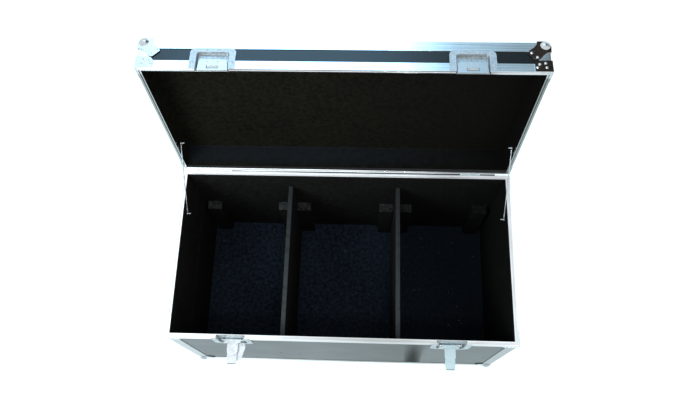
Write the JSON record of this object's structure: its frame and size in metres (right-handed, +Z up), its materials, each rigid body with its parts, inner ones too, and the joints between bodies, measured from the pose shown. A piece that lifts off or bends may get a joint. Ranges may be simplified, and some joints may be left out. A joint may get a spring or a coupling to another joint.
{
  "type": "cable flight case",
  "caption": "Rectangular hinged-lid road case with extruded edges, ball corners, recessed butterfly latches, lined inside and parted by lift-out dividers.",
  "frame": {"origin": "centre of the floor panel's underside", "axes": "+Z up, +Y towards the hinged rear, X along the case's length"},
  "size_m": [1.144, 0.8167, 1.1288],
  "materials": {
    "laminated_panel": "plywood faced with satin black plastic laminate",
    "aluminium_extrusion": "bright anodised extrusion",
    "steel_fittings": "bright zinc plate",
    "wall_lining": "matt black felt",
    "floor_lining": "matt blue-black felt",
    "divider_cover": "plywood covered with matt black felt",
    "stay_wire": "twisted steel wire with crimped ferrules"
  },
  "bodies": {
    "base": {"base_floor_panel": "laminated_panel", "base_front_panel": "laminated_panel", "base_rear_panel": "laminated_panel", "base_left_panel": "laminated_panel", "base_right_panel": "laminated_panel", "base_joint_extrusion": "aluminium_extrusion", "base_floor_frame": "aluminium_extrusion", "base_corner_angle_front_left": "aluminium_extrusion", "base_corner_angle_front_right": "aluminium_extrusion", "base_corner_angle_rear_left": "aluminium_extrusion", "base_corner_angle_rear_right": "aluminium_extrusion", "base_ball_corner_front_left": "steel_fittings", "base_ball_corner_front_right": "steel_fittings", "base_ball_corner_rear_left": "steel_fittings", "base_ball_corner_rear_right": "steel_fittings", "base_front_lining": "wall_lining", "base_rear_lining": "wall_lining", "base_left_lining": "wall_lining", "base_right_lining": "wall_lining", "base_floor_lining": "floor_lining", "latch_left_base_dish": "steel_fittings", "latch_right_base_dish": "steel_fittings", "hinge_base_leaf_left": "steel_fittings", "hinge_base_leaf_right": "steel_fittings", "handle_left_dish": "steel_fittings", "handle_right_dish": "steel_fittings"},
    "lid": {"lid_top_panel": "laminated_panel", "lid_front_panel": "laminated_panel", "lid_rear_panel": "laminated_panel", "lid_left_panel": "laminated_panel", "lid_right_panel": "laminated_panel", "lid_joint_extrusion": "aluminium_extrusion", "lid_edge_frame": "aluminium_extrusion", "lid_ball_corner_front_left": "steel_fittings", "lid_ball_corner_front_right": "steel_fittings", "lid_ball_corner_rear_left": "steel_fittings", "lid_ball_corner_rear_right": "steel_fittings", "lid_lining": "wall_lining", "latch_left_lid_dish": "steel_fittings", "latch_right_lid_dish": "steel_fittings", "latch_left_keeper": "steel_fittings", "latch_right_keeper": "steel_fittings", "hinge_lid_leaf_left": "steel_fittings", "hinge_lid_leaf_right": "steel_fittings", "lid_stay_left": "stay_wire", "lid_stay_right": "stay_wire"},
    "latch_left_arm": {"latch_left_arm": "steel_fittings"},
    "latch_left_hook": {"latch_left_hook": "steel_fittings"},
    "latch_left_handle": {"latch_left_handle": "steel_fittings"},
    "latch_left_wing_left": {"latch_left_wing_left": "steel_fittings"},
    "latch_left_wing_right": {"latch_left_wing_right": "steel_fittings"},
    "latch_right_arm": {"latch_right_arm": "steel_fittings"},
    "latch_right_hook": {"latch_right_hook": "steel_fittings"},
    "latch_right_handle": {"latch_right_handle": "steel_fittings"},
    "latch_right_wing_left": {"latch_right_wing_left": "steel_fittings"},
    "latch_right_wing_right": {"latch_right_wing_right": "steel_fittings"},
    "divider_left": {"divider_left": "divider_cover"},
    "divider_right": {"divider_right": "divider_cover"},
    "handle_left_bail": {"handle_left_bail": "steel_fittings"},
    "handle_right_bail": {"handle_right_bail": "steel_fittings"}
  },
  "joints": [
    {"name": "lid_hinge", "type": "hinge", "parent": "base", "child": "lid", "pos_m": [0, 0.2926, 0.5384], "axis": [-1, 0, 0], "range_deg": [-95.5, 0], "deforming": ["lid_stay_left", "lid_stay_right"]},
    {"name": "latch_left_arm_swing", "type": "hinge", "parent": "base", "child": "latch_left_arm", "pos_m": [-0.354, -0.2834, 0.4761], "axis": [1, 0, 0], "range_deg": [-90, 0]},
    {"name": "latch_left_handle_turn", "type": "hinge", "parent": "latch_left_arm", "child": "latch_left_handle", "pos_m": [-0.354, -0.3214, 0.4718], "axis": [0, 0, 1], "range_deg": [-180, 0]},
    {"name": "latch_left_hook_slide", "type": "slide", "parent": "latch_left_arm", "child": "latch_left_hook", "axis": [0, -1, 0], "range_m": [-0.008, 0]},
    {"name": "latch_left_wing_left_fold", "type": "hinge", "parent": "latch_left_handle", "child": "latch_left_wing_left", "pos_m": [-0.3576, -0.3214, 0.4707], "axis": [0, -1, 0], "range_deg": [-90, 0]},
    {"name": "latch_left_wing_right_fold", "type": "hinge", "parent": "latch_left_handle", "child": "latch_left_wing_right", "pos_m": [-0.3504, -0.3214, 0.4707], "axis": [0, 1, 0], "range_deg": [0, 90]},
    {"name": "latch_right_arm_swing", "type": "hinge", "parent": "base", "child": "latch_right_arm", "pos_m": [0.354, -0.2834, 0.4761], "axis": [1, 0, 0], "range_deg": [-90, 0]},
    {"name": "latch_right_handle_turn", "type": "hinge", "parent": "latch_right_arm", "child": "latch_right_handle", "pos_m": [0.354, -0.3214, 0.4718], "axis": [0, 0, 1], "range_deg": [-180, 0]},
    {"name": "latch_right_hook_slide", "type": "slide", "parent": "latch_right_arm", "child": "latch_right_hook", "axis": [0, -1, 0], "range_m": [-0.008, 0]},
    {"name": "latch_right_wing_left_fold", "type": "hinge", "parent": "latch_right_handle", "child": "latch_right_wing_left", "pos_m": [0.3504, -0.3214, 0.4707], "axis": [0, -1, 0], "range_deg": [-90, 0]},
    {"name": "latch_right_wing_right_fold", "type": "hinge", "parent": "latch_right_handle", "child": "latch_right_wing_right", "pos_m": [0.3576, -0.3214, 0.4707], "axis": [0, 1, 0], "range_deg": [-90, 0]},
    {"name": "divider_left_lift", "type": "slide", "parent": "base", "child": "divider_left", "axis": [0, 0, 1], "range_m": [0, 0.53]},
    {"name": "divider_right_lift", "type": "slide", "parent": "base", "child": "divider_right", "axis": [0, 0, 1], "range_m": [0, 0.53]},
    {"name": "handle_left_bail_swing", "type": "hinge", "parent": "base", "child": "handle_left_bail", "pos_m": [-0.5575, 0, 0.326], "axis": [0, 1, 0], "range_deg": [0, 90], "stiffness_Nm_per_rad": 0.25, "springref_deg": -17.19},
    {"name": "handle_right_bail_swing", "type": "hinge", "parent": "base", "child": "handle_right_bail", "pos_m": [0.5575, 0, 0.326], "axis": [0, -1, 0], "range_deg": [0, 90], "stiffness_Nm_per_rad": 0.25, "springref_deg": -17.19}
  ],
  "couplings": [
    {"joint": "latch_left_hook_slide", "follows": "latch_left_handle_turn", "m_per_rad": 0.002546},
    {"joint": "latch_right_hook_slide", "follows": "latch_right_handle_turn", "m_per_rad": 0.002546}
  ]
}
